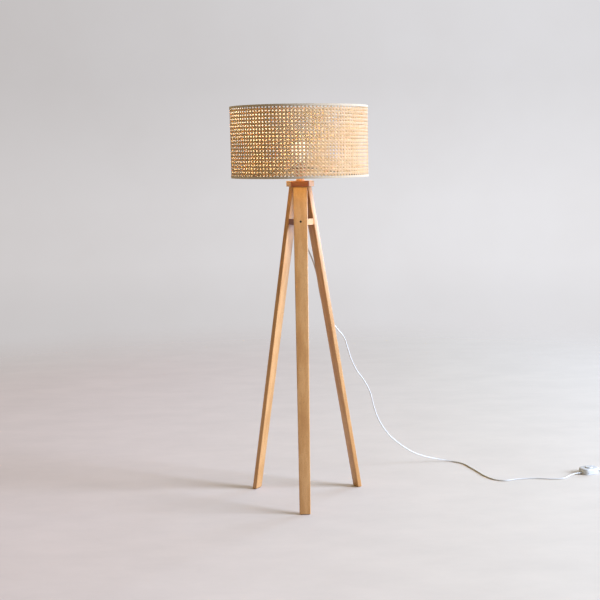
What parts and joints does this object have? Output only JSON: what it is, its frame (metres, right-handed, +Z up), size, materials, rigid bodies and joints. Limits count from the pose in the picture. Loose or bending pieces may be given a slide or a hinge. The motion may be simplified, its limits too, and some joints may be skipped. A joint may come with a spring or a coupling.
{
  "type": "floor lamp",
  "caption": "Floor lamp with a cane-webbing drum shade on a wooden tripod, with lampholder, bulb, and a cord with foot switch and plug.",
  "frame": {"origin": "on the floor, under the shade's and the stand's common axis", "axes": "+Z up along the lamp's axis, -Y towards the front leg, +X to the right, the side the cord runs out to"},
  "size_m": [1.5287, 0.6866, 1.45],
  "materials": {
    "honey_wood": "clear satin varnish over warm golden-brown wood",
    "felt": "pressed dark felt",
    "black_steel": "black satin coating",
    "bright_steel": "plain bright steel",
    "brass": "plain brass",
    "bronze": "warm bronze plating",
    "ceramic": "white insulating body",
    "black_plastic": "moulded, fine matt",
    "opal_glass": "frosted, lit from inside",
    "cane": "natural cane strands, light gloss",
    "white_tape": "off-white woven tape",
    "cord_plastic": "white sheath",
    "clear_plastic": "translucent moulding"
  },
  "bodies": {
    "stand": {"leg_front": "honey_wood", "leg_rear_left": "honey_wood", "leg_rear_right": "honey_wood", "top_plate": "honey_wood", "spreader_block": "honey_wood", "foot_pad_front": "felt", "foot_pad_rear_left": "felt", "foot_pad_rear_right": "felt", "leg_bolt_front": "black_steel", "leg_bolt_rear_left": "black_steel", "leg_bolt_rear_right": "black_steel", "plate_screw_front": "bright_steel", "plate_screw_rear_left": "bright_steel", "plate_screw_rear_right": "bright_steel", "tube_washer": "bright_steel", "tube_nut": "bright_steel", "switch_spring": "bright_steel", "plug_pin_left": "bright_steel", "plug_pin_right": "bright_steel", "spreader_insert_front": "brass", "spreader_insert_rear_left": "brass", "spreader_insert_rear_right": "brass", "threaded_tube": "brass", "centre_contact": "brass", "screw_shell": "brass", "plate_collar": "bronze", "holder_cap": "bronze", "holder_shell": "bronze", "holder_block": "ceramic", "cord_bushing": "ceramic", "switch_block": "ceramic", "coil_tie": "white_tape", "cord_inside": "cord_plastic", "cord_hanging": "cord_plastic", "cord_tail": "cord_plastic", "cord_coil": "cord_plastic", "cord_end": "cord_plastic", "switch_base": "clear_plastic", "switch_cover": "clear_plastic", "switch_relief_in": "clear_plastic", "switch_relief_out": "clear_plastic", "plug_relief": "clear_plastic", "plug_body": "clear_plastic"},
    "shade": {"shade_hub": "black_steel", "shade_spoke_1": "black_steel", "shade_spoke_2": "black_steel", "shade_spoke_3": "black_steel", "shade_wire_bottom": "bright_steel", "shade_wire_top": "bright_steel", "cane_wall": "cane", "shade_seam": "cane", "edge_band_bottom": "white_tape", "edge_band_top": "white_tape"},
    "ring": {"shade_ring": "black_plastic"},
    "bulb_carrier": {"bulb_contact": "bright_steel", "bulb_insulator": "black_plastic"},
    "bulb": {"bulb_cap": "bright_steel", "bulb_glass": "opal_glass", "bulb_stem": "opal_glass"},
    "button": {"switch_button": "clear_plastic"}
  },
  "joints": [
    {"name": "shade_turn", "type": "hinge", "parent": "stand", "child": "shade", "pos_m": [0, 0, 1.2272], "axis": [0, 0, 1], "continuous": true},
    {"name": "ring_unscrew", "type": "slide", "parent": "stand", "child": "ring", "axis": [0, 0, 1], "range_m": [0, 0.013]},
    {"name": "bulb_rise", "type": "slide", "parent": "stand", "child": "bulb_carrier", "axis": [0, 0, 1], "range_m": [0, 0.01991]},
    {"name": "bulb_unscrew", "type": "hinge", "parent": "bulb_carrier", "child": "bulb", "pos_m": [0, 0, 1.2253], "axis": [0, 0, 1], "range_deg": [0, 1981]},
    {"name": "button_press", "type": "slide", "parent": "stand", "child": "button", "axis": [0, 0, -1], "range_m": [0, 0.003], "stiffness_N_per_m": 300, "springref_m": -0.004, "deforming": ["switch_spring"]}
  ],
  "couplings": [
    {"joint": "bulb_unscrew", "follows": "bulb_rise", "rad_per_m": 1735.7}
  ]
}
